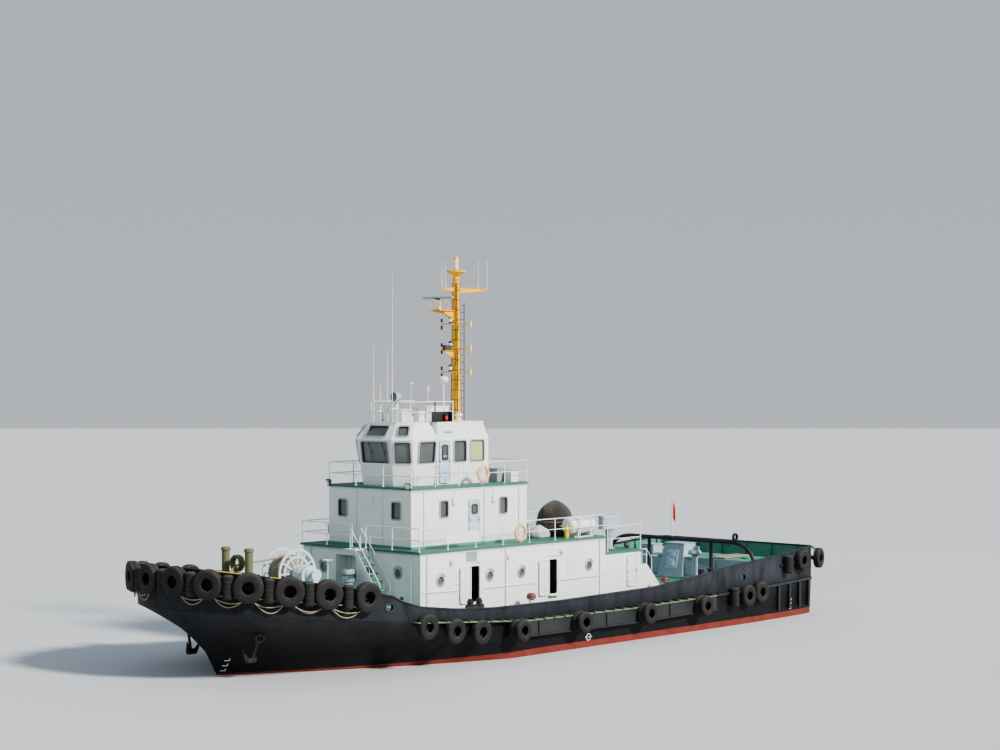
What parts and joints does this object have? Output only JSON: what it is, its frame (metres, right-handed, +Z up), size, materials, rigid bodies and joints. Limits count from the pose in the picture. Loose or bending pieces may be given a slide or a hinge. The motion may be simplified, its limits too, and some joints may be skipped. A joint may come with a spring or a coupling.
{
  "type": "harbour tugboat",
  "caption": "Harbour tugboat with tyre-fendered bow, deckhouse, wheelhouse, mast with radar, tow winch, towing arch and steerable stern thrusters.",
  "frame": {"origin": "on the centreline amidships at the waterline", "axes": "+X to the bow, +Y to port, +Z up"},
  "size_m": [35.8281, 11.66, 20.33],
  "materials": {
    "hull_paint": "weathered black hull paint with brick red below the waterline",
    "deck_paint": "worn teal green deck paint",
    "white_paint": "white gloss paint with rust runs",
    "tyre_rubber": "dusty worn tyre rubber",
    "galvanised": "dark weathered steel",
    "glass": "dark tinted window glass",
    "ochre_paint": "ochre yellow paint",
    "winch_paint": "pale blue paint",
    "olive_paint": "worn olive paint",
    "black_paint": "black paint",
    "red_fabric": "faded red cloth",
    "grey_paint": "pale blue-grey paint",
    "raft_shell": "white moulded shell",
    "tarpaulin": "dark brown tarpaulin",
    "bronze": "sea-worn bronze",
    "door_paint": "pale blue paint"
  },
  "bodies": {
    "boat": {"hull": "hull_paint", "fore_deck": "deck_paint", "main_deck": "deck_paint", "bulwark_bow": "hull_paint", "bulwark_port": "hull_paint", "bulwark_starboard": "hull_paint", "bulwark_stern": "hull_paint", "bow_fender": "tyre_rubber", "side_fender_port": "hull_paint", "side_fender_starboard": "hull_paint", "stern_fender_port": "hull_paint", "stern_fender_starboard": "hull_paint", "corner_fender_port": "tyre_rubber", "corner_fender_starboard": "tyre_rubber", "anchor_port": "galvanised", "anchor_starboard": "galvanised", "deckhouse": "white_paint", "after_house": "white_paint", "boat_deck": "deck_paint", "aft_boat_deck": "deck_paint", "ventilator_port": "white_paint", "ventilator_starboard": "white_paint", "crew_cabin": "white_paint", "bridge_deck": "deck_paint", "wheelhouse": "white_paint", "wheelhouse_roof": "white_paint", "wheelhouse_glass": "glass", "mast": "ochre_paint", "boat_deck_rail_port": "white_paint", "boat_deck_rail_starboard": "white_paint", "bridge_rails": "white_paint", "roof_rails": "white_paint", "roof_lockers": "white_paint", "foredeck_ladder": "white_paint", "winch_frame": "winch_paint", "tow_bitt": "olive_paint", "towing_arch": "black_paint", "flag": "red_fabric", "aft_trunk": "grey_paint", "liferaft_port": "raft_shell", "liferaft_starboard": "raft_shell", "covered_gear": "tarpaulin"},
    "winch_drum": {"winch_drum": "winch_paint"},
    "radar_scanner": {"radar_scanner": "raft_shell"},
    "searchlight": {"searchlight": "white_paint"},
    "thruster_port": {"thruster_port": "galvanised"},
    "thruster_starboard": {"thruster_starboard": "galvanised"},
    "propeller_port": {"propeller_port": "bronze"},
    "propeller_starboard": {"propeller_starboard": "bronze"},
    "hood_door": {"hood_door": "door_paint"},
    "fore_door_port": {"fore_door_port": "white_paint"},
    "fore_door_starboard": {"fore_door_starboard": "white_paint"},
    "mid_door_port": {"mid_door_port": "white_paint"},
    "mid_door_starboard": {"mid_door_starboard": "white_paint"},
    "wheelhouse_door_port": {"wheelhouse_door_port": "door_paint"},
    "wheelhouse_door_starboard": {"wheelhouse_door_starboard": "door_paint"},
    "cabin_door_port": {"cabin_door_port": "door_paint"},
    "cabin_door_starboard": {"cabin_door_starboard": "door_paint"},
    "store_door_port": {"store_door_port": "white_paint"},
    "store_door_starboard": {"store_door_starboard": "white_paint"}
  },
  "joints": [
    {"name": "thruster_port_steer", "type": "hinge", "parent": "boat", "child": "thruster_port", "pos_m": [-11.2, 2.35, -1.2], "axis": [0, 0, 1], "continuous": true},
    {"name": "propeller_port_spin", "type": "hinge", "parent": "thruster_port", "child": "propeller_port", "pos_m": [-11.6, 2.35, -2.95], "axis": [1, 0, 0], "continuous": true},
    {"name": "thruster_starboard_steer", "type": "hinge", "parent": "boat", "child": "thruster_starboard", "pos_m": [-11.2, -2.35, -1.2], "axis": [0, 0, 1], "continuous": true},
    {"name": "propeller_starboard_spin", "type": "hinge", "parent": "thruster_starboard", "child": "propeller_starboard", "pos_m": [-11.6, -2.35, -2.95], "axis": [1, 0, 0], "continuous": true},
    {"name": "winch_drum_spin", "type": "hinge", "parent": "boat", "child": "winch_drum", "pos_m": [12.35, 0, 3.6], "axis": [0, 1, 0], "continuous": true},
    {"name": "radar_scanner_spin", "type": "hinge", "parent": "boat", "child": "radar_scanner", "pos_m": [4.16, 0, 14.4], "axis": [0, 0, 1], "continuous": true},
    {"name": "searchlight_pan", "type": "hinge", "parent": "boat", "child": "searchlight", "pos_m": [6.56, 0, 10.1], "axis": [0, 0, 1], "range_deg": [-170, 170]},
    {"name": "fore_door_port_hinge", "type": "hinge", "parent": "boat", "child": "fore_door_port", "pos_m": [5.81, 3.47, 2.9], "axis": [0, 0, 1], "range_deg": [0, 180]},
    {"name": "mid_door_port_hinge", "type": "hinge", "parent": "boat", "child": "mid_door_port", "pos_m": [1.1, 3.47, 2.9], "axis": [0, 0, 1], "range_deg": [0, 180]},
    {"name": "wheelhouse_door_port_hinge", "type": "hinge", "parent": "boat", "child": "wheelhouse_door_port", "pos_m": [5.78, 1.7, 7.7], "axis": [0, 0, 1], "range_deg": [-165, 0]},
    {"name": "cabin_door_port_hinge", "type": "hinge", "parent": "boat", "child": "cabin_door_port", "pos_m": [4.82, 2.45, 5.4], "axis": [0, 0, 1], "range_deg": [-165, 0]},
    {"name": "store_door_port_hinge", "type": "hinge", "parent": "boat", "child": "store_door_port", "pos_m": [-4.03, 3.47, 2.7], "axis": [0, 0, 1], "range_deg": [-170, 0]},
    {"name": "fore_door_starboard_hinge", "type": "hinge", "parent": "boat", "child": "fore_door_starboard", "pos_m": [5.81, -3.47, 2.9], "axis": [0, 0, -1], "range_deg": [0, 180]},
    {"name": "mid_door_starboard_hinge", "type": "hinge", "parent": "boat", "child": "mid_door_starboard", "pos_m": [1.1, -3.47, 2.9], "axis": [0, 0, -1], "range_deg": [0, 180]},
    {"name": "wheelhouse_door_starboard_hinge", "type": "hinge", "parent": "boat", "child": "wheelhouse_door_starboard", "pos_m": [5.78, -1.7, 7.7], "axis": [0, 0, -1], "range_deg": [-165, 0]},
    {"name": "cabin_door_starboard_hinge", "type": "hinge", "parent": "boat", "child": "cabin_door_starboard", "pos_m": [4.82, -2.45, 5.4], "axis": [0, 0, -1], "range_deg": [-165, 0]},
    {"name": "store_door_starboard_hinge", "type": "hinge", "parent": "boat", "child": "store_door_starboard", "pos_m": [-4.03, -3.47, 2.7], "axis": [0, 0, -1], "range_deg": [-170, 0]},
    {"name": "hood_door_hinge", "type": "hinge", "parent": "boat", "child": "hood_door", "pos_m": [-12.4016, -1.22, 1.6526], "axis": [-0.2529, 0, 0.9675], "range_deg": [-110, 0]}
  ]
}
